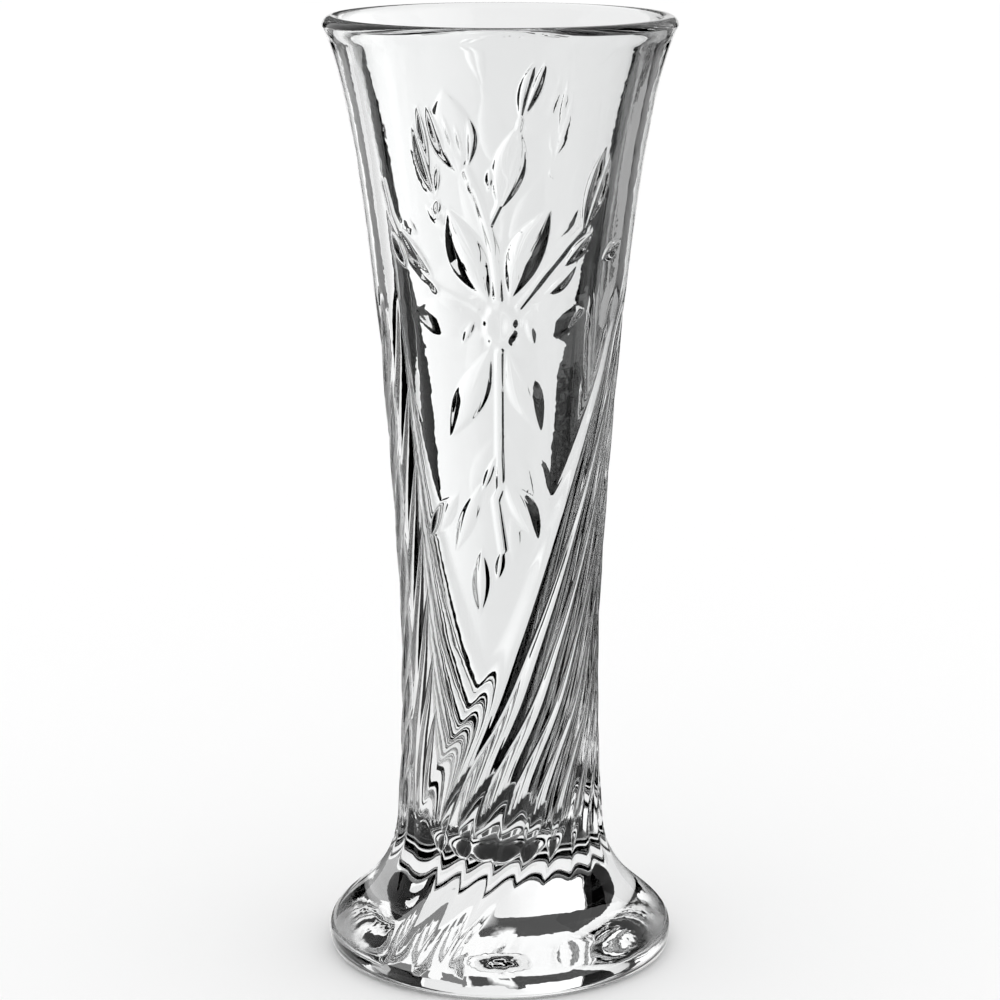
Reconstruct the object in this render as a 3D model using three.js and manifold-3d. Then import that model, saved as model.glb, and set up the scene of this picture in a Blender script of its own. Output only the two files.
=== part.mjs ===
// Glass bud vase: one pressed-glass body, 200 mm tall, with a flared mouth, a slim neck and
// a spreading foot. Swirling flutes run round its lower half, and a panel with a flower of
// boat-shaped cuts is left plain between them on each face.
// Millimetres, +Z up, origin at the centre of the base. Azimuth 0 faces -Y, +90 faces +X.
import * as THREE from 'three';
import { mergeVertices } from 'three/addons/utils/BufferGeometryUtils.js';
import Module from 'manifold-3d';

// Heights above the table.
const HEIGHT = 200;
const FOOT_EDGE_HEIGHT = 4;
const COVE_TOP_HEIGHT = 31;
const NECK_HEIGHT = 70;
const FLOOR_HEIGHT = 19;

// Outside radii.
const FOOT_RADIUS = 36.9;
const NECK_RADIUS = 21.05;
const RIM_RADIUS = 36.5;
const COVE_FLARE = 0.9;

// The flat ring that the vase stands on, and the hollow inside it.
const FOOT_ROUNDING = 2.3;
const RING_WIDTH = 3.6;
const RECESS_DEPTH = 1.6;

// Glass thickness, and how much the cavity narrows from the neck to its floor.
const RIM_WALL = 4;
const NECK_WALL = 5.9;
const CAVITY_TAPER = 1.55;

// Swirling flutes, in a group on each side. The first flute of a group fades into the panel.
const FLUTES_PER_TURN = 24;
const FLUTE_DEPTH = 0.7;
const FLUTE_BOTTOM = 9;
const FLUTE_TOP = 146;
const FLUTE_RUN_OUT = 10;
const GROUPS = [{ start: -54, end: 100 }, { start: 144.75, end: 280 }];
const EDGE_BLEND_ANGLE = 6;
const SWIRL_START_HEIGHT = 20;
const SWIRL = [[0, 0], [13, 9], [25, 25], [37, 46], [60, 72], [110, 116], [150, 140]];

// The flower's cuts on one face: both ends as [azimuth, height], and the width. The other
// face repeats them half a turn round.
const CUT_DEPTH = 0.7;
const FACE_ANGLES = [0, 180];
const CUTS = [
  { ends: [[-4, 144], [-22, 164]], width: 7 },
  { ends: [[4, 144.5], [21, 164.5]], width: 7 },
  { ends: [[-3.5, 136], [-25.5, 116.5]], width: 6.5 },
  { ends: [[3.5, 136], [20.5, 117.5]], width: 6.5 },
  { ends: [[-7, 140.5], [-40, 141]], width: 8 },
  { ends: [[7, 140.5], [40, 141]], width: 8 },
  { ends: [[-15.5, 171.5], [-21, 187]], width: 9 },
  { ends: [[-0.5, 163.5], [6.5, 181.5]], width: 6.5 },
  { ends: [[36, 157.5], [48, 175]], width: 6 },
  { ends: [[2, 110], [20.4, 94.6]], width: 4.2 },
  { ends: [[-2, 112], [-15.5, 98.5]], width: 4 },
];

// Mesh fineness.
const STEPS_PER_FLUTE = 4;
const OUTER_ROWS = { cove: 8, neck: 5, bowl: 12 };
const INNER_ROWS = { wall: 6, floor: 4 };
const LIP_ROWS = 4;
const BASE_ROWS = 3;
const CUTTER_SIDES = 6;
const CUTTER_ROWS = 6;

const point = (radius, height) => new THREE.Vector2(radius, height);

// How far the flutes have turned, in degrees, at a height.
const swirlPath = new THREE.CatmullRomCurve3(
  SWIRL.map(([rise, turn]) => new THREE.Vector3(rise, turn, 0)), false, 'centripetal');
const swirlSamples = swirlPath.getPoints(120);

function swirlAngle(height) {
  const rise = THREE.MathUtils.clamp(height - SWIRL_START_HEIGHT, 0, swirlSamples.at(-1).x);
  const next = Math.max(1, swirlSamples.findIndex((sample) => sample.x >= rise));
  const [low, high] = [swirlSamples[next - 1], swirlSamples[next]];
  const share = (rise - low.x) / (high.x - low.x);
  return THREE.MathUtils.lerp(low.y, high.y, share);
}

// Depth of the flutes under the plain outline, at an azimuth in degrees and a height.
function fluteDepth(angle, height) {
  const turned = swirlAngle(height);
  const lower = THREE.MathUtils.smoothstep(height, FLUTE_BOTTOM, FLUTE_BOTTOM + FLUTE_RUN_OUT);
  const upper = 1 - THREE.MathUtils.smoothstep(height, FLUTE_TOP - FLUTE_RUN_OUT, FLUTE_TOP);
  const depths = GROUPS.map(({ start, end }) => {
    const groupTurn = THREE.MathUtils.euclideanModulo(angle - start - turned, 360);
    const groupAngle = groupTurn + start + turned;
    const across = groupTurn * FLUTES_PER_TURN / 360;
    const scoop = Math.sin(Math.PI * (across - Math.floor(across)));
    return scoop * (1 - THREE.MathUtils.smoothstep(groupAngle, end - EDGE_BLEND_ANGLE, end));
  });
  return FLUTE_DEPTH * Math.max(...depths) * lower * upper;
}

// The section of the glass, from the middle of the base out, up, over the lip and down inside.
const lipRadius = RIM_WALL / 2;
const lipCentre = point(RIM_RADIUS - lipRadius, HEIGHT - lipRadius);
const coveRadius = NECK_RADIUS + COVE_FLARE;
const ringOuterRadius = FOOT_RADIUS - FOOT_ROUNDING;
const ringInnerRadius = ringOuterRadius - RING_WIDTH;
const neckInnerRadius = NECK_RADIUS - NECK_WALL;
const cavityRadius = neckInnerRadius - CAVITY_TAPER;
const mouthRadius = RIM_RADIUS - RIM_WALL;
const coveRise = COVE_TOP_HEIGHT - FOOT_EDGE_HEIGHT;
const neckRise = NECK_HEIGHT - COVE_TOP_HEIGHT;
const bowlRise = HEIGHT - NECK_HEIGHT;

const cubic = (a, b, c, d) => new THREE.CubicBezierCurve(a, b, c, d);

const recess = cubic(
  point(0, RECESS_DEPTH),
  point(ringInnerRadius * 0.5, RECESS_DEPTH),
  point(ringInnerRadius * 0.8, RECESS_DEPTH * 0.6),
  point(ringInnerRadius, 0));
const footEdge = new THREE.QuadraticBezierCurve(
  point(ringOuterRadius, 0),
  point(FOOT_RADIUS, 0.4 * FOOT_EDGE_HEIGHT),
  point(FOOT_RADIUS, FOOT_EDGE_HEIGHT));
const cove = cubic(
  point(FOOT_RADIUS, FOOT_EDGE_HEIGHT),
  point(FOOT_RADIUS, FOOT_EDGE_HEIGHT + 0.26 * coveRise),
  point(coveRadius + 0.48, COVE_TOP_HEIGHT - 0.71 * coveRise),
  point(coveRadius, COVE_TOP_HEIGHT));
const neck = cubic(
  point(coveRadius, COVE_TOP_HEIGHT),
  point(NECK_RADIUS + 0.1, COVE_TOP_HEIGHT + 0.4 * neckRise),
  point(NECK_RADIUS, NECK_HEIGHT - 0.6 * neckRise),
  point(NECK_RADIUS, NECK_HEIGHT));
const bowl = cubic(
  point(NECK_RADIUS, NECK_HEIGHT),
  point(NECK_RADIUS, NECK_HEIGHT + 0.04 * bowlRise),
  point(NECK_RADIUS + 0.32 * (RIM_RADIUS - NECK_RADIUS), HEIGHT - 0.17 * bowlRise),
  point(RIM_RADIUS, lipCentre.y));
const lip = new THREE.EllipseCurve(lipCentre.x, lipCentre.y, lipRadius, lipRadius, 0, Math.PI, false);
const cavityWall = cubic(
  point(mouthRadius, lipCentre.y),
  point(mouthRadius - 0.62 * (mouthRadius - neckInnerRadius), HEIGHT - 0.17 * bowlRise),
  point(neckInnerRadius + 0.4, NECK_HEIGHT + 0.1 * bowlRise),
  point(cavityRadius, FLOOR_HEIGHT + cavityRadius));
const cavityFloor = new THREE.EllipseCurve(
  0, FLOOR_HEIGHT + cavityRadius, cavityRadius, cavityRadius, 0, -Math.PI / 2, true);

// Points of each stretch, without its last one, which the next stretch begins with.
const stretch = (curve, rows) => curve.getPoints(rows).slice(0, -1);
const base = [...stretch(recess, BASE_ROWS), point(ringInnerRadius, 0), ...stretch(footEdge, BASE_ROWS)];
const outerWall = [
  ...stretch(cove, OUTER_ROWS.cove),
  ...stretch(neck, OUTER_ROWS.neck),
  ...stretch(bowl, OUTER_ROWS.bowl),
];
const inside = [
  ...stretch(lip, LIP_ROWS),
  ...stretch(cavityWall, INNER_ROWS.wall),
  ...stretch(cavityFloor, INNER_ROWS.floor),
  point(0, FLOOR_HEIGHT),
];

// The turned body. Its columns of faces twist as they climb the outside, to run along the
// flutes, and the flutes are sunk into the outer wall.
function turnedBody() {
  const fullTwist = swirlAngle(HEIGHT);
  const rows = [
    ...base.map(({ x, y }) => ({ radius: x, height: y, twist: 0, fluted: false })),
    ...outerWall.map(({ x, y }) => ({ radius: x, height: y, twist: swirlAngle(y), fluted: true })),
    ...inside.map(({ x, y }) => ({ radius: x, height: y, twist: fullTwist, fluted: false })),
  ];
  const columns = FLUTES_PER_TURN * STEPS_PER_FLUTE;
  const lathe = new THREE.LatheGeometry(rows.map(({ radius, height }) => point(radius, height)), columns);
  const position = lathe.getAttribute('position');
  for (let column = 0; column <= columns; column += 1) {
    const startAngle = GROUPS[0].start + (column % columns) * 360 / columns;
    rows.forEach(({ radius, height, twist, fluted }, row) => {
      const angle = startAngle + twist;
      const cutRadius = radius - (fluted ? fluteDepth(angle, height) : 0);
      const turn = THREE.MathUtils.degToRad(angle);
      position.setXYZ(
        column * rows.length + row, Math.sin(turn) * cutRadius, -Math.cos(turn) * cutRadius, height);
    });
  }
  return lathe;
}

// Outside radius of the bowl at a height, read off its curve.
const bowlSamples = bowl.getPoints(200);

function bowlRadius(height) {
  const next = Math.max(1, bowlSamples.findIndex((sample) => sample.y >= height));
  const [low, high] = [bowlSamples[next - 1], bowlSamples[next]];
  return THREE.MathUtils.mapLinear(height, low.y, high.y, low.x, high.x);
}

// A boat-shaped cutter bent round the wall: a ball stretched from end to end and pointed.
function cutter({ ends: [[startAngle, startHeight], [endAngle, endHeight]], width }, faceAngle) {
  const midHeight = (startHeight + endHeight) / 2;
  const midAngle = (startAngle + endAngle) / 2;
  const perDegree = THREE.MathUtils.degToRad(bowlRadius(midHeight));
  const lean = point((endAngle - startAngle) * perDegree, endHeight - startHeight);
  const halfLength = lean.length() / 2;
  lean.normalize();
  const ball = new THREE.SphereGeometry(1, CUTTER_SIDES, CUTTER_ROWS);
  const position = ball.getAttribute('position');
  for (let index = 0; index < position.count; index += 1) {
    const along = position.getY(index);
    const across = position.getX(index) * Math.sqrt(1 - along * along) * width / 2;
    const height = midHeight + lean.y * along * halfLength - lean.x * across;
    const sideways = lean.x * along * halfLength + lean.y * across;
    const turn = THREE.MathUtils.degToRad(faceAngle + midAngle + sideways / perDegree);
    const radius = bowlRadius(height) + position.getZ(index) * CUT_DEPTH;
    position.setXYZ(index, Math.sin(turn) * radius, -Math.cos(turn) * radius, height);
  }
  return ball;
}

const wasm = await Module();
wasm.setup();

function solid(geometry) {
  geometry.deleteAttribute('normal');
  geometry.deleteAttribute('uv');
  const merged = mergeVertices(geometry, 1e-4);
  return new wasm.Manifold(new wasm.Mesh({
    numProp: 3,
    vertProperties: new Float32Array(merged.getAttribute('position').array),
    triVerts: new Uint32Array(merged.getIndex().array),
  }));
}

function vaseBody() {
  let shape = solid(turnedBody());
  for (const faceAngle of FACE_ANGLES) {
    for (const cut of CUTS) shape = shape.subtract(solid(cutter(cut, faceAngle)));
  }
  const { vertProperties, triVerts } = shape.getMesh();
  const geometry = new THREE.BufferGeometry();
  geometry.setAttribute('position', new THREE.BufferAttribute(vertProperties, 3));
  geometry.setIndex(new THREE.BufferAttribute(triVerts, 1));
  geometry.computeVertexNormals();
  return geometry;
}

const glass = new THREE.MeshStandardMaterial({
  color: 0xe9eeee, roughness: 0.05, metalness: 0, transparent: true, opacity: 0.35,
});

const vase = new THREE.Group();
const body = new THREE.Mesh(vaseBody(), glass);
body.name = 'vase_body';
vase.add(body);

export default vase;
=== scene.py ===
import math

import bmesh
import bpy
import numpy as np
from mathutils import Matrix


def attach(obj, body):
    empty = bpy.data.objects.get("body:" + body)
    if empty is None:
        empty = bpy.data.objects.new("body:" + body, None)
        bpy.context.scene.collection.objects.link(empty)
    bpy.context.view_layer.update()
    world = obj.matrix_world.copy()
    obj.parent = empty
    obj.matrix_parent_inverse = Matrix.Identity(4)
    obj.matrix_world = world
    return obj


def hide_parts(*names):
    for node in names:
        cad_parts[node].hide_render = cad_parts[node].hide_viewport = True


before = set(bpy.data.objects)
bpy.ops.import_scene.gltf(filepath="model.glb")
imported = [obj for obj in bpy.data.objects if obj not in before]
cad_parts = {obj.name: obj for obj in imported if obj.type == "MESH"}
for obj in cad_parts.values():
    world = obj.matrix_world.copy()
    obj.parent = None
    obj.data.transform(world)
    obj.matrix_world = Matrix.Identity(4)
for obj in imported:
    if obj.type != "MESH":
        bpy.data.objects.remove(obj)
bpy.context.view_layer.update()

scene = bpy.context.scene
scene.view_settings.view_transform = "Standard"
scene.cycles.max_bounces = 32
scene.cycles.transmission_bounces = 32
scene.cycles.glossy_bounces = 12
scene.cycles.diffuse_bounces = 3
scene.cycles.transparent_max_bounces = 16
scene.cycles.caustics_reflective = True
scene.cycles.caustics_refractive = True


# --- Camera ------------------------------------------------------------------------------------
# A long lens on a tripod, in front of the vase and a little above its mouth, tipped down.
CAMERA_DISTANCE = 0.659
CAMERA_HEIGHT = 0.2502
CAMERA_TIP_DOWN = math.radians(12.98)
CAMERA_LENS = 115.26
SENSOR_WIDTH = 36.0

camera_data = bpy.data.cameras.new("camera")
camera_data.lens = CAMERA_LENS
camera_data.sensor_width = SENSOR_WIDTH
camera = bpy.data.objects.new("camera", camera_data)
camera.location = (0.0, -CAMERA_DISTANCE, CAMERA_HEIGHT)
camera.rotation_euler = (math.pi / 2 - CAMERA_TIP_DOWN, 0.0, 0.0)
scene.collection.objects.link(camera)
scene.camera = camera


# --- Floor and room ----------------------------------------------------------------------------
# A wide pale sheet on the floor of a white room, evenly lit all round.
FLOOR_HALF_WIDTH = 6.0
FLOOR_TONE = 0.95
FLOOR_ROUGHNESS = 0.9
ROOM_BRIGHTNESS = 1.06

floor_mesh = bpy.data.meshes.new("floor")
floor_bm = bmesh.new()
bmesh.ops.create_grid(floor_bm, x_segments=1, y_segments=1, size=FLOOR_HALF_WIDTH)
floor_bm.to_mesh(floor_mesh)
floor_bm.free()
floor = bpy.data.objects.new("floor", floor_mesh)
scene.collection.objects.link(floor)
floor_paint = bpy.data.materials.new("pale_floor")
floor_paint.use_nodes = True
floor_shader = floor_paint.node_tree.nodes["Principled BSDF"]
floor_shader.inputs["Base Color"].default_value = (FLOOR_TONE, FLOOR_TONE, FLOOR_TONE, 1.0)
floor_shader.inputs["Roughness"].default_value = FLOOR_ROUGHNESS
floor_shader.inputs["Specular IOR Level"].default_value = 0.0
floor_mesh.materials.append(floor_paint)

world = bpy.data.worlds.new("white_room")
world.use_nodes = True
world.node_tree.nodes["Background"].inputs["Color"].default_value = (1.0, 1.0, 1.0, 1.0)
world.node_tree.nodes["Background"].inputs["Strength"].default_value = ROOM_BRIGHTNESS
scene.world = world


# --- Flags -------------------------------------------------------------------------------------
# Cards lie on the floor round the vase and turn up at a ring behind it, with a window left open
# behind each side. They are hidden from the camera and cast no shadow: only the glass gathers
# them, into the dark lines that draw its shape.
MM = 0.001
FLAG_RING = 600.0
WINDOW_HALF_WIDTH = 11.0
NEAR = 43.0
TOP = 850.0
SIDE_TOP = 1500.0
CARD_LIFT = 0.5
BACKDROP_LIFT = 0.3
BACKDROP_SETBACK = 2.0
CARD_COLUMNS = 13
CARD_FLOOR_ROWS = 14
CARD_WALL_ROWS = 18
RING_POINTS = 96
# Angles to a window's side, in degrees, at distances out along the floor and then up, in mm.
RIGHT_EDGE = ((NEAR, 8.3), (600.0, 8.3), (646.0, 13.7), (670.0, 18.0), (TOP, 21.0))
LEFT_EDGE = ((NEAR, 12.5), (600.0, 12.5), (631.0, 17.0), (650.0, 19.0), (TOP, 21.0))
GAP_NEAR = ((NEAR, 20.7), (530.0, 20.7), (600.0, 18.5), (TOP, 21.5))
GAP_FAR = ((NEAR, 27.3), (530.0, 27.3), (600.0, 18.6), (TOP, 21.6))
# Window's bearing, side, near edge, far edge, where the card starts and stops, tone, and where a
# card shades across, the tone at its far edge.
CARDS = (
    (0, 1, RIGHT_EDGE, 19.0, 420.0, 625.0, 0.09),
    (0, 1, RIGHT_EDGE, 19.0, NEAR, 420.0, 0.0),
    (0, 1, 19.0, 32.0, NEAR, 625.0, 0.0),
    (0, 1, RIGHT_EDGE, 33.0, 625.0, TOP, 0.0),
    (0, 1, 32.0, 66.0, 400.0, TOP, 0.42),
    (0, 1, 32.0, 48.0, NEAR, 400.0, 0.0),
    (0, 1, 52.0, 66.0, NEAR, 400.0, 0.0),
    (0, 1, 66.0, 80.0, NEAR, SIDE_TOP, 0.0),
    (0, 1, 80.0, 90.0, NEAR, SIDE_TOP, 0.30),
    (0, 1, 90.0, 112.0, NEAR, SIDE_TOP, 0.0),
    (0, -1, LEFT_EDGE, GAP_NEAR, NEAR, TOP, 0.0),
    (0, -1, GAP_FAR, 33.0, NEAR, TOP, 0.0),
    (-45, 1, RIGHT_EDGE, 12.0, NEAR, 640.0, 0.0),
    (-45, -1, RIGHT_EDGE, 22.5, NEAR, TOP, 0.0),
    (-90, 1, RIGHT_EDGE, 22.5, NEAR, TOP, 0.0),
    (-90, -1, RIGHT_EDGE, 40.0, NEAR, SIDE_TOP, 0.0),
    (135, -1, RIGHT_EDGE, 23.0, NEAR, TOP, 0.0),
    (135, 1, RIGHT_EDGE, 33.0, NEAR, SIDE_TOP, 0.0),
    (135, 1, 33.0, 95.0, NEAR, SIDE_TOP, 0.0),
    (0, -1, -6.0, -1.0, 850.0, 1150.0, 0.90, 0.08),
    (0, -1, -1.0, 33.0, 850.0, 1150.0, 0.08),
    (0, 1, 12.0, 33.0, 850.0, 1150.0, 0.22),
)


def card_point(window, side, angle, out, behind):
    """A spot at an angle to a window's side and a distance out along the floor and then up."""
    reach = min(out, FLAG_RING) + (BACKDROP_SETBACK if behind else 0.0)
    turn = math.asin(WINDOW_HALF_WIDTH * math.cos(math.radians(angle)) / reach)
    bearing = math.radians(window) + side * (math.radians(angle) + turn)
    height = (BACKDROP_LIFT if behind else CARD_LIFT) + max(0.0, out - FLAG_RING)
    return (MM * reach * math.sin(bearing), MM * reach * math.cos(bearing), MM * height)


def edge_angle(edge, out):
    if isinstance(edge, float):
        return edge
    return float(np.interp(out, [point[0] for point in edge], [point[1] for point in edge]))


def finish_card(mesh, name, tones):
    """Tone a card from point to point and hide it from all but the glass."""
    mesh.attributes.new("tone", "FLOAT", "POINT").data.foreach_set("value", tones)
    paint = bpy.data.materials.new("flag_card")
    paint.use_nodes = True
    nodes = paint.node_tree.nodes
    nodes.remove(nodes["Principled BSDF"])
    glow = nodes.new("ShaderNodeEmission")
    shade = nodes.new("ShaderNodeAttribute")
    shade.attribute_name = "tone"
    paint.node_tree.links.new(shade.outputs["Fac"], glow.inputs["Strength"])
    paint.node_tree.links.new(glow.outputs[0], nodes["Material Output"].inputs["Surface"])
    mesh.materials.append(paint)
    flag = bpy.data.objects.new(name, mesh)
    scene.collection.objects.link(flag)
    flag.visible_camera = False
    flag.visible_diffuse = False
    flag.visible_shadow = False


def add_card(name, window, side, near_edge, far_edge, start, stop, tone, far_tone=None, behind=False):
    mesh = bpy.data.meshes.new(name)
    bm = bmesh.new()
    floor_steps = np.geomspace(start, FLAG_RING, CARD_FLOOR_ROWS) if start < FLAG_RING else []
    wall_steps = np.linspace(max(start, FLAG_RING), stop, CARD_WALL_ROWS)
    outs = sorted({round(float(out), 3) for out in (*floor_steps, *wall_steps)})
    rows = []
    for out in outs:
        angles = np.linspace(edge_angle(near_edge, out), edge_angle(far_edge, out), CARD_COLUMNS)
        rows.append([bm.verts.new(card_point(window, side, angle, out, behind)) for angle in angles])
    for low, high in zip(rows, rows[1:]):
        for a, b, c, d in zip(low, low[1:], high[1:], high):
            bm.faces.new((a, b, c, d))
    bm.to_mesh(mesh)
    bm.free()
    tones = np.linspace(tone, tone if far_tone is None else far_tone, CARD_COLUMNS)
    finish_card(mesh, name, np.tile(tones, len(outs)))


def add_ring(name, inner, outer, height, tone):
    mesh = bpy.data.meshes.new(name)
    bm = bmesh.new()
    turns = np.linspace(0.0, 2 * math.pi, RING_POINTS, endpoint=False)
    rims = []
    for r in (inner, outer):
        rims.append([bm.verts.new((MM * r * math.sin(t), MM * r * math.cos(t), MM * height)) for t in turns])
    for i in range(RING_POINTS):
        j = (i + 1) % RING_POINTS
        bm.faces.new((rims[0][i], rims[0][j], rims[1][j], rims[1][i]))
    bm.to_mesh(mesh)
    bm.free()
    finish_card(mesh, name, np.full(len(mesh.vertices), tone))


for index, entry in enumerate(CARDS):
    add_card(f"flag_{index}", *entry)

# Behind each window the backdrop shades from bright on the left to a little duller on the right.
for window in (0, -45, -90, 135):
    add_card(f"flag_left_{window}", window, -1, near_edge=0.0, far_edge=20.0, start=100.0, stop=TOP,
             tone=0.93, far_tone=1.36, behind=True)
    add_card(f"flag_right_{window}", window, -1, near_edge=-20.0, far_edge=0.0, start=100.0, stop=TOP,
             tone=0.86, far_tone=0.93, behind=True)

# A dark disc lies under the hollow of the base: painted shade under the vase, seen only through the glass. A
# white ring round the foot is painted light: it glows on the floor where the vase's own shadow falls, and it
# is hidden from the camera too.
add_ring("painted_shade_disc", inner=0.5, outer=29.0, height=0.1, tone=0.03)
add_ring("painted_light_ring", inner=35.6, outer=NEAR, height=0.08, tone=0.95)


# --- Glass vase --------------------------------------------------------------------------------
# The whole vase is one piece of clear pressed glass. The mould gives its outside the flutes and
# the flowers, a smooth plunger its inside, and fire polishing rounds the lip and every edge.
HEIGHT = 200.0
RIM_RADIUS = 36.5
RIM_WALL = 4.0
NECK_RADIUS = 21.05
NECK_WALL = 5.9
NECK_HEIGHT = 70.0
COVE_RADIUS = 21.95
COVE_TOP = 31.0
FOOT_RADIUS = 36.9
FOOT_EDGE = 4.0
RING_OUTER = 34.6
RING_INNER = 31.0
RECESS_DEPTH = 1.6
FLOOR_HEIGHT = 19.0
CAVITY_RADIUS = 13.6
LIP_RADIUS = RIM_WALL / 2
LIP_HEIGHT = HEIGHT - LIP_RADIUS
MOUTH_RADIUS = RIM_RADIUS - RIM_WALL
NECK_INNER = NECK_RADIUS - NECK_WALL
FOOT_STEPS = 60
WALL_STEPS = 200
BOWL_STEPS = 400
INSIDE_STEPS = 32
ARC_STEPS = 14
RECESS_STEPS = 12


def cubic(a, b, c, d, steps):
    t = np.linspace(0.0, 1.0, steps + 1)[:, None]
    a, b, c, d = (np.array(p, float) for p in (a, b, c, d))
    return (1 - t) ** 3 * a + 3 * (1 - t) ** 2 * t * b + 3 * (1 - t) * t * t * c + t ** 3 * d


def arc(centre, radius, start, stop, steps):
    t = np.radians(np.linspace(start, stop, steps + 1))
    return np.stack([centre[0] + radius * np.cos(t), centre[1] + radius * np.sin(t)], axis=1)


cove_rise = COVE_TOP - FOOT_EDGE
neck_rise = NECK_HEIGHT - COVE_TOP
bowl_rise = HEIGHT - NECK_HEIGHT
bowl_flare = RIM_RADIUS - NECK_RADIUS
foot_edge = cubic(
    (RING_OUTER, 0.0), (FOOT_RADIUS - 0.8, 0.0),
    (FOOT_RADIUS, 0.4 * FOOT_EDGE), (FOOT_RADIUS, FOOT_EDGE), FOOT_STEPS)
cove = cubic(
    (FOOT_RADIUS, FOOT_EDGE), (FOOT_RADIUS, FOOT_EDGE + 0.26 * cove_rise),
    (COVE_RADIUS + 0.48, COVE_TOP - 0.71 * cove_rise), (COVE_RADIUS, COVE_TOP), WALL_STEPS)
neck = cubic(
    (COVE_RADIUS, COVE_TOP), (NECK_RADIUS + 0.1, COVE_TOP + 0.4 * neck_rise),
    (NECK_RADIUS, NECK_HEIGHT - 0.6 * neck_rise), (NECK_RADIUS, NECK_HEIGHT), WALL_STEPS)
bowl = cubic(
    (NECK_RADIUS, NECK_HEIGHT), (NECK_RADIUS, NECK_HEIGHT + 0.04 * bowl_rise),
    (NECK_RADIUS + 0.32 * bowl_flare, HEIGHT - 0.17 * bowl_rise), (RIM_RADIUS, LIP_HEIGHT), BOWL_STEPS)
outside = np.concatenate([foot_edge[:-1], cove[:-1], neck[:-1], bowl])
inside = cubic(
    (MOUTH_RADIUS, LIP_HEIGHT),
    (MOUTH_RADIUS - 0.62 * (MOUTH_RADIUS - NECK_INNER), HEIGHT - 0.17 * bowl_rise),
    (NECK_INNER + 0.4, NECK_HEIGHT + 0.1 * bowl_rise),
    (CAVITY_RADIUS, FLOOR_HEIGHT + CAVITY_RADIUS), INSIDE_STEPS)
lip = arc((RIM_RADIUS - LIP_RADIUS, LIP_HEIGHT), LIP_RADIUS, 0, 180, ARC_STEPS)
cavity_floor = arc((0.0, FLOOR_HEIGHT + CAVITY_RADIUS), CAVITY_RADIUS, 0, -90, ARC_STEPS)
recess = cubic(
    (0.0, RECESS_DEPTH), (0.5 * RING_INNER, RECESS_DEPTH),
    (0.8 * RING_INNER, 0.6 * RECESS_DEPTH), (RING_INNER, 0.0), RECESS_STEPS)


def outside_radius(height):
    return np.interp(height, outside[:, 1], outside[:, 0])


def inside_radius(height):
    return np.interp(height, inside[::-1, 1], inside[::-1, 0])


def smoothstep(x, low, high):
    t = np.clip((x - low) / (high - low), 0.0, 1.0)
    return t * t * (3 - 2 * t)


COLUMNS = 240
FLOWER_BOTTOM = 75.0
FLOWER_TOP = 196.0
ROWS = ((0.0, 9.0, 12), (9.0, FLOWER_BOTTOM, 55), (FLOWER_BOTTOM, 190.0, 96), (190.0, LIP_HEIGHT, 7))
section = [tuple(point) for point in recess] + [(RING_OUTER, 0.0)]
for low, high, count in ROWS:
    section += [(float(outside_radius(h)), float(h)) for h in np.linspace(low, high, count + 1)[1:]]
for curve in (lip, inside, cavity_floor):
    section += [tuple(point) for point in curve[1:]]
section[-1] = (0.0, FLOOR_HEIGHT)

glass_bm = bmesh.new()
chain = [glass_bm.verts.new((0.0, -r, h)) for r, h in section]
edges = [glass_bm.edges.new(pair) for pair in zip(chain, chain[1:])]
bmesh.ops.spin(glass_bm, geom=chain + edges, cent=(0, 0, 0), axis=(0, 0, 1),
               angle=2 * math.pi, steps=COLUMNS, use_merge=True, use_duplicate=False)
bmesh.ops.remove_doubles(glass_bm, verts=glass_bm.verts, dist=1e-4)

# The flutes climb and turn. On the foot they close up and lean further over. There are two groups
# of them, and a smooth panel for the flower comes between one group and the next.
SWIRL_HEIGHTS = [0, 28, 33, 45, 57, 80, 130, 170, 200]
SWIRL_TURNS = [0, 0, 2.5, 16.0, 35.0, 59.5, 107.0, 132.0, 132.0]
SWIRL_STEPS = 400
SWIRL_SOFT_STEPS = 12
FLUTE_PITCH = 15.0
FLUTE_DEPTH = 0.9
FLUTE_TOP = 146.0
FLUTE_TOP_FADE = 12.0
FIRST_FLUTE_FADE = (-0.4, 0.5)
LAST_FLUTE_FADE = 8.0
GROUP_START = -48.0
GROUP_SPANS = (166.0, 137.5)
GROUP_STEP = 208.5
GROUP_LEAD_IN = 20.0
FOOT_LEAN = 22.0
LEAN_GROWS = 60.0
LEAN_FADES = (75.0, 150.0)
LEAN_HEIGHTS = (6.0, 28.0)
FOOT_END_LOW = 5.5
FOOT_END_HIGH = 17.5
FOOT_END_CLIMBS = (46.0, 62.0)
FOOT_RUN_OUT = 8.0
swirl_at = np.linspace(0.0, HEIGHT, SWIRL_STEPS + 1)
swirl_turn = np.pad(np.interp(swirl_at, SWIRL_HEIGHTS, SWIRL_TURNS), SWIRL_SOFT_STEPS, mode="edge")
soft_window = np.ones(2 * SWIRL_SOFT_STEPS + 1) / (2 * SWIRL_SOFT_STEPS + 1)
swirl_turn = np.convolve(swirl_turn, soft_window, mode="valid")


def swirl(height):
    return np.interp(height, swirl_at, swirl_turn)


def group_angle(column_angle, group):
    """Angle past the start of a group of flutes, before the swirl; just short of it is below 0."""
    past = column_angle - GROUP_START - GROUP_STEP * group
    return np.mod(past + GROUP_LEAD_IN, 360.0) - GROUP_LEAD_IN


def foot_lean(column_angle, height):
    lean = np.zeros_like(column_angle)
    for group in range(len(GROUP_SPANS)):
        past = group_angle(column_angle, group)
        grown = np.clip(past / LEAN_GROWS, 0.0, 1.0)
        lean = np.maximum(lean, grown * (1 - smoothstep(past, *LEAN_FADES)))
    return FOOT_LEAN * lean * (1 - smoothstep(height, *LEAN_HEIGHTS))


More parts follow.
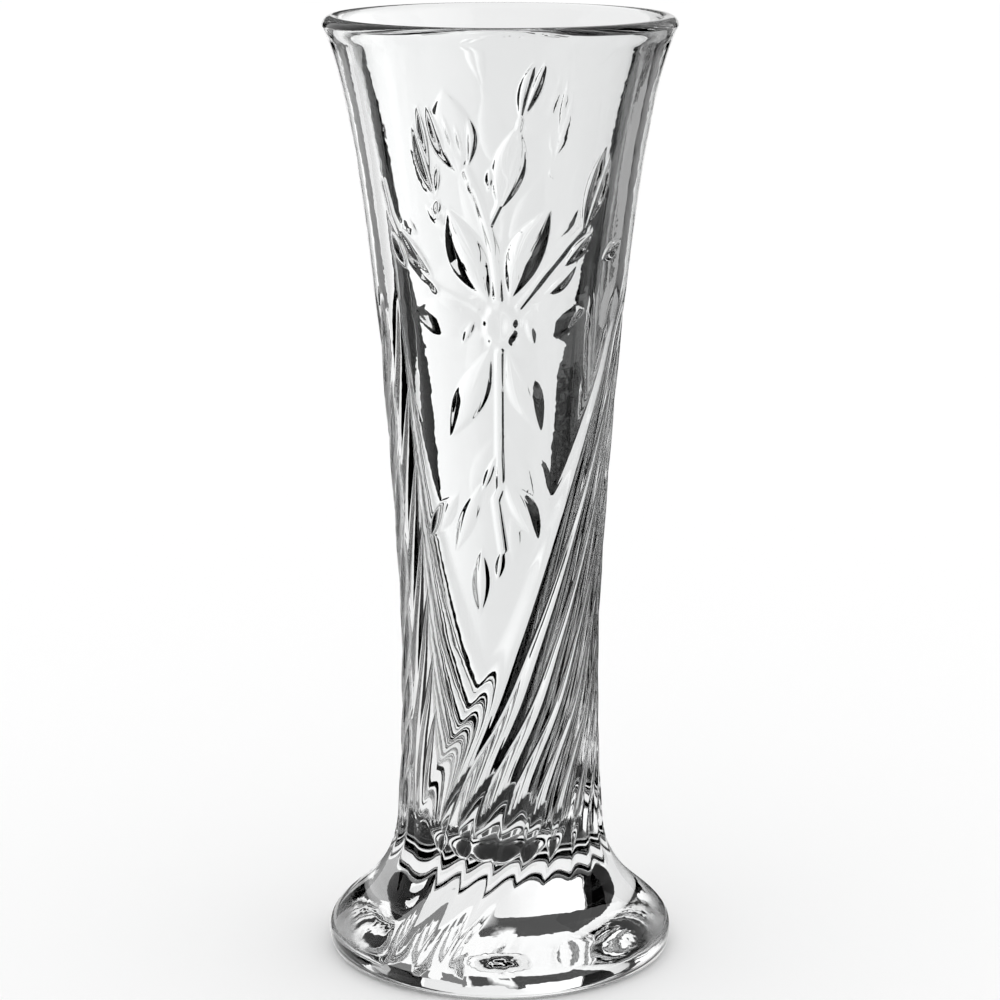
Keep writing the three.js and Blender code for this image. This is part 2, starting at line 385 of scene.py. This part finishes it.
def flutes(column_angle, height):
    """Depth of the flutes under the wall, in mm. The first one of a group fades into the panel."""
    depth = np.zeros_like(height)
    for group, span in enumerate(GROUP_SPANS):
        past = group_angle(column_angle, group)
        across = past / FLUTE_PITCH
        first = smoothstep(across, *FIRST_FLUTE_FADE)
        scoop = np.where(across < FIRST_FLUTE_FADE[1], first, np.abs(np.sin(np.pi * across)))
        climb = smoothstep(past, *FOOT_END_CLIMBS) if group == 0 else 1.0
        foot_end = FOOT_END_LOW + (FOOT_END_HIGH - FOOT_END_LOW) * climb
        run_out = smoothstep(height, foot_end, foot_end + FOOT_RUN_OUT)
        last = span - swirl(height)
        depth = np.maximum(depth, scoop * run_out * (1 - smoothstep(past, last - LAST_FLUTE_FADE, last)))
    return FLUTE_DEPTH * depth * (1 - smoothstep(height, FLUTE_TOP - FLUTE_TOP_FADE, FLUTE_TOP))


def azimuth(points):
    return np.degrees(np.arctan2(points[:, 0], -points[:, 1]))


def on_wall(points):
    """Which points are on the outer wall, between the standing ring and the lip."""
    radius = np.hypot(points[:, 0], points[:, 1])
    middle = 0.5 * (outside_radius(points[:, 2]) + inside_radius(points[:, 2]))
    return (radius > middle) & (points[:, 2] > 0.05) & (points[:, 2] < LIP_HEIGHT - 0.01)


def place(points, chosen, angle, radius):
    points[chosen, 0] = (radius * np.sin(np.radians(angle)))[chosen]
    points[chosen, 1] = (-radius * np.cos(np.radians(angle)))[chosen]


# The mesh turns with the flutes, so that each ridge runs along one of its columns.
coords = np.array([vert.co for vert in glass_bm.verts])
turned = azimuth(coords)
reach = np.hypot(coords[:, 0], coords[:, 1])
outer = on_wall(coords)
beneath = (coords[:, 2] < RECESS_DEPTH + 0.1) & ~outer
everywhere = np.ones(len(coords), bool)
levels = np.where(outer, coords[:, 2], np.where(beneath, 0.0, HEIGHT))
cut_radius = reach - np.where(outer, flutes(turned, coords[:, 2]), 0.0)
place(coords, everywhere, turned + swirl(levels) - foot_lean(turned, levels), cut_radius)
for vert, co in zip(glass_bm.verts, coords):
    vert.co = co

# Cuts of the flower, drawn on the wall unrolled: degrees to the right of the front, and mm up.
# Start, end, width, depth, bend to the left, sharpness of the left edge and of the right edge.
CUTS = (
    ((-4.5, 144.8), (-21.3, 164.0), 7.6, 1.10, 0.4, 2.0, 2.6),
    ((4.3, 145.2), (20.9, 164.0), 7.4, 1.05, 1.2, 2.6, 2.0),
    ((-4.3, 135.5), (-24.9, 116.4), 6.8, 0.62, 0.4, 3.0, 2.0),
    ((3.2, 135.2), (20.4, 117.6), 6.8, 0.52, 0.0, 2.0, 3.0),
    ((-8.0, 141.0), (-40.5, 142.3), 9.0, 0.55, 0.0, 2.0, 2.0),
    ((8.0, 141.0), (40.5, 142.3), 9.0, 0.55, 0.0, 2.0, 2.0),
    ((-15.7, 170.6), (-20.0, 188.0), 9.4, 0.85, 0.0, 5.0, 5.0),
    ((-20.4, 173.0), (-26.9, 184.8), 2.6, 1.10, 0.2, 2.0, 2.0),
    ((-16.2, 172.6), (-22.6, 185.7), 2.2, 1.05, 0.2, 2.0, 2.0),
    ((-14.0, 172.4), (-18.9, 184.2), 2.0, 1.05, -0.3, 2.0, 2.0),
    ((-12.6, 172.2), (-13.2, 184.2), 3.0, 1.05, -1.0, 2.0, 2.0),
    ((-26.6, 166.2), (-33.6, 180.4), 2.4, 0.90, 0.4, 2.0, 2.0),
    ((-28.0, 170.5), (-30.8, 185.0), 1.9, 0.80, 0.0, 2.0, 2.0),
    ((-25.7, 166.6), (-24.2, 172.8), 1.2, 0.44, 0.0, 2.0, 2.0),
    ((-26.4, 162.4), (-25.2, 165.6), 1.6, 0.61, 0.0, 2.0, 2.0),
    ((-10.8, 166.6), (-12.7, 169.9), 0.9, 0.41, 0.0, 2.0, 2.0),
    ((-4.1, 168.0), (-4.0, 172.3), 1.8, 0.61, 0.0, 2.0, 2.0),
    ((-0.5, 163.4), (6.9, 181.2), 6.8, 0.70, 0.0, 5.0, 3.5),
    ((7.2, 181.6), (11.8, 194.0), 2.8, 0.85, 0.7, 2.0, 2.0),
    ((8.4, 182.6), (15.4, 194.2), 2.0, 0.75, -0.2, 2.0, 2.0),
    ((36.3, 158.9), (43.6, 175.4), 3.4, 0.90, 0.6, 3.0, 2.0),
    ((37.4, 159.2), (46.9, 173.6), 2.8, 0.78, -0.7, 2.0, 2.0),
    ((28.0, 152.0), (41.8, 158.2), 2.8, 0.68, 0.0, 2.0, 2.0),
    ((49.0, 152.4), (61.9, 155.4), 3.2, 0.85, 0.0, 2.0, 2.0),
    ((18.0, 145.8), (34.0, 151.6), 2.4, 0.40, -0.5, 2.0, 2.0),
    ((-29.1, 149.2), (-47.7, 159.4), 3.0, 0.68, 0.0, 2.0, 2.0),
    ((-43.2, 150.6), (-51.7, 158.0), 2.6, 0.78, 0.0, 2.0, 2.0),
    ((-26.4, 146.0), (-31.9, 148.8), 1.8, 0.36, 0.0, 2.0, 2.0),
    ((-10.6, 142.9), (-17.2, 136.0), 1.9, 0.34, 0.0, 2.0, 2.0),
    ((11.6, 142.9), (15.7, 135.8), 1.9, 0.34, 0.0, 2.0, 2.0),
    ((-1.5, 113.5), (-9.6, 104.6), 1.6, 0.28, 0.0, 2.0, 2.0),
    ((-9.0, 107.2), (-24.2, 92.0), 3.6, 0.30, 0.0, 2.0, 3.0),
    ((0.9, 108.0), (20.9, 94.4), 5.0, 0.50, 0.7, 2.0, 3.0),
    ((-21.5, 104.6), (-39.4, 94.8), 4.4, 0.50, 0.0, 2.0, 2.0),
    ((-9.6, 93.2), (-11.0, 78.6), 3.7, 0.56, 0.0, 2.0, 2.0),
    ((1.4, 93.2), (-1.4, 86.2), 1.9, 0.36, 0.0, 2.0, 2.0),
    ((-0.7, 111.2), (-0.2, 103.4), 1.3, 0.32, 0.0, 2.0, 2.0),
)
# Stems: the points that each runs through, its width and its depth.
STEMS = (
    (((-0.9, 145.0), (-1.4, 149.9), (-3.0, 156.1), (-5.0, 160.1), (-8.4, 165.8), (-12.8, 171.4)), 2.3, 0.36),
    (((-5.0, 160.1), (-1.0, 164.2), (3.6, 171.9), (7.2, 181.7)), 1.5, 0.28),
    (((7.8, 143.7), (19.7, 150.7), (29.7, 156.1), (36.1, 158.8)), 1.7, 0.20),
    (((-10.1, 143.7), (-26.4, 147.0), (-34.6, 149.8), (-43.5, 154.9), (-50.3, 161.4), (-53.0, 168.0)),
     1.7, 0.20),
    (((-0.5, 135.2), (-0.3, 113.1), (0.2, 106.0), (-2.3, 103.6), (1.4, 92.9)), 2.0, 0.24),
)
# The flower's middle: a dome in a shallow dish, with beads set round it.
BOSS_HEIGHT = 140.0
BOSS_HALF_WIDTH = 3.4
BOSS_HALF_HEIGHT = 4.9
BEADS = 10
BEAD_RADIUS = 1.0
BEAD_RISE = 0.14
DISH_DEPTH = 0.35
DISH_WALL = (0.75, 1.2)
DISH_EDGE = (0.9, 1.2)
EDGE_SOFTNESS = 0.04
# The flower on the back is pressed more faintly.
BACK_STRENGTH = 0.5


def wall_point(angle, height):
    return (math.radians(angle) * float(outside_radius(height)), height)


def boat(x, y, start, end, width, depth, bend, left, right):
    """Depth of a boat-shaped cut from start to end; it shoals towards its ends and its edges."""
    (x0, y0), (x1, y1) = wall_point(*start), wall_point(*end)
    length = math.hypot(x1 - x0, y1 - y0)
    ux, uy = (x1 - x0) / length, (y1 - y0) / length
    t = ((x - x0) * ux + (y - y0) * uy) / length
    inside_t = np.clip(t, 0.0, 1.0)
    side = -(x - x0) * uy + (y - y0) * ux - bend * 4 * inside_t * (1 - inside_t)
    fullness = np.maximum(np.sin(np.pi * inside_t), 1e-3)
    share = np.minimum(np.abs(side) / (0.5 * width * fullness), 3.0)
    cut = depth * fullness * (1 - share ** np.where(side > 0, left, right))
    return np.where((t < 0) | (t > 1), -1.0, cut)


def stem(x, y, points, width, depth):
    """Depth of a stem, a shallow groove from point to point."""
    best = np.full_like(x, -1.0)
    points = [wall_point(*point) for point in points]
    for (x0, y0), (x1, y1) in zip(points, points[1:]):
        dx, dy = x1 - x0, y1 - y0
        t = np.clip(((x - x0) * dx + (y - y0) * dy) / (dx * dx + dy * dy), 0, 1)
        d = np.hypot(x - x0 - t * dx, y - y0 - t * dy) / (width / 2)
        best = np.maximum(best, depth * (1 - d * d))
    return best


def flower(angle, height):
    """Depth of the flower under the wall, in mm, on one face."""
    x, y = np.radians(angle) * outside_radius(height), height
    cut = np.full_like(x, -1.0)
    for entry in CUTS:
        cut = np.maximum(cut, boat(x, y, *entry))
    for entry in STEMS:
        cut = np.maximum(cut, stem(x, y, *entry))
    depth = 0.5 * (cut + np.sqrt(cut ** 2 + EDGE_SOFTNESS ** 2))
    ring = np.hypot(x / BOSS_HALF_WIDTH, (y - BOSS_HEIGHT) / BOSS_HALF_HEIGHT)
    dome = 1 - smoothstep(ring, 0.0, DISH_WALL[0])
    dish = DISH_DEPTH * (1 - smoothstep(ring, *DISH_WALL)) - DISH_DEPTH * dome
    around = np.maximum(depth * smoothstep(ring, *DISH_EDGE), 0.0)
    depth = np.where(ring < DISH_WALL[1], around + dish, depth)
    for bead in range(BEADS):
        turn = 2 * math.pi * (bead + 0.5) / BEADS
        bead_x = BOSS_HALF_WIDTH * math.sin(turn)
        bead_y = BOSS_HEIGHT + BOSS_HALF_HEIGHT * math.cos(turn)
        d = np.hypot(x - bead_x, y - bead_y) / BEAD_RADIUS
        depth = depth - BEAD_RISE * np.clip(1 - d * d, 0.0, 1.0)
    return depth


def nearest_face(angle):
    return np.mod(angle + 90.0, 180.0) - 90.0


# Finer faces where the flower is cut.
LOOK_ASIDE = 0.9
LOOK_UP = 0.6
SHALLOWEST_CUT = 0.03
FINE_CUTS = 2
glass_bm.faces.ensure_lookup_table()
centres = np.array([f.calc_center_median() for f in glass_bm.faces])
near_flower = on_wall(centres) & (centres[:, 2] > FLOWER_BOTTOM) & (centres[:, 2] < FLOWER_TOP)
busy = np.zeros(len(centres), bool)
for aside, up in ((-1, -1), (1, 1), (1, -1), (-1, 1), (0, 0)):
    angle = nearest_face(azimuth(centres) + aside * LOOK_ASIDE)
    busy |= np.abs(flower(angle, centres[:, 2] + up * LOOK_UP)) > SHALLOWEST_CUT
chosen = [f for f, take in zip(glass_bm.faces, near_flower & busy) if take]
split = list({e for f in chosen for e in f.edges})
bmesh.ops.subdivide_edges(glass_bm, edges=split, cuts=FINE_CUTS, use_grid_fill=True)

coords = np.array([vert.co for vert in glass_bm.verts])
angles = azimuth(coords)
upper = on_wall(coords) & (coords[:, 2] >= FLOWER_BOTTOM)
strength = np.where(np.abs(angles) < 90.0, 1.0, BACK_STRENGTH)
depths = flutes(angles - swirl(coords[:, 2]), coords[:, 2])
depths += strength * flower(nearest_face(angles), coords[:, 2])
place(coords, upper, angles, outside_radius(coords[:, 2]) - depths)
for vert, co in zip(glass_bm.verts, coords):
    vert.co = co * MM
bmesh.ops.recalc_face_normals(glass_bm, faces=glass_bm.faces)

glass_mesh = bpy.data.meshes.new("vase_glass")
glass_bm.to_mesh(glass_mesh)
glass_bm.free()
glass_mesh.polygons.foreach_set("use_smooth", np.ones(len(glass_mesh.polygons), bool))
glass_mesh.update()

# Clear colourless glass with the faint waves a mould leaves, rubbed dull where it stands. It mirrors
# less of the room than bare glass does, as it would through a polarising filter.
GLASS_IOR = 1.52
FACE_REFLECTION = 0.25
WAVE_SCALE = 260.0
WAVE_HEIGHT = 0.00002
DULL_TINT = (0.925, 0.93, 0.93, 1.0)
CLEAR_TINT = (0.95, 0.955, 0.955, 1.0)
SCUFF_ROUGHNESS = 0.25
SCUFF_HEIGHTS = (0.0002, 0.0006)
glass = bpy.data.materials.new("pressed_glass")
glass.use_nodes = True
nodes = glass.node_tree.nodes
links = glass.node_tree.links
glass_shader = nodes["Principled BSDF"]
glass_shader.inputs["Transmission Weight"].default_value = 1.0
glass_shader.inputs["IOR"].default_value = GLASS_IOR
glass_shader.inputs["Specular Tint"].default_value = (FACE_REFLECTION, FACE_REFLECTION, FACE_REFLECTION, 1.0)
where = nodes.new("ShaderNodeTexCoord")
waves = nodes.new("ShaderNodeTexNoise")
waves.inputs["Scale"].default_value = WAVE_SCALE
waves.inputs["Detail"].default_value = 2.0
links.new(where.outputs["Object"], waves.inputs["Vector"])
bump = nodes.new("ShaderNodeBump")
bump.inputs["Strength"].default_value = 1.0
bump.inputs["Distance"].default_value = WAVE_HEIGHT
links.new(waves.outputs["Fac"], bump.inputs["Height"])
links.new(bump.outputs["Normal"], glass_shader.inputs["Normal"])
tint = nodes.new("ShaderNodeValToRGB")
tint.color_ramp.elements[0].color = DULL_TINT
tint.color_ramp.elements[1].color = CLEAR_TINT
links.new(waves.outputs["Fac"], tint.inputs["Fac"])
links.new(tint.outputs["Color"], glass_shader.inputs["Base Color"])
height = nodes.new("ShaderNodeSeparateXYZ")
links.new(where.outputs["Object"], height.inputs["Vector"])
scuff = nodes.new("ShaderNodeMapRange")
scuff.inputs["From Min"].default_value = SCUFF_HEIGHTS[0]
scuff.inputs["From Max"].default_value = SCUFF_HEIGHTS[1]
scuff.inputs["To Min"].default_value = SCUFF_ROUGHNESS
scuff.inputs["To Max"].default_value = 0.0
links.new(height.outputs["Z"], scuff.inputs["Value"])
links.new(scuff.outputs["Result"], glass_shader.inputs["Roughness"])
glass_mesh.materials.append(glass)

vase = bpy.data.objects.new("vase_glass", glass_mesh)
scene.collection.objects.link(vase)
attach(vase, "root")
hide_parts("vase_body")
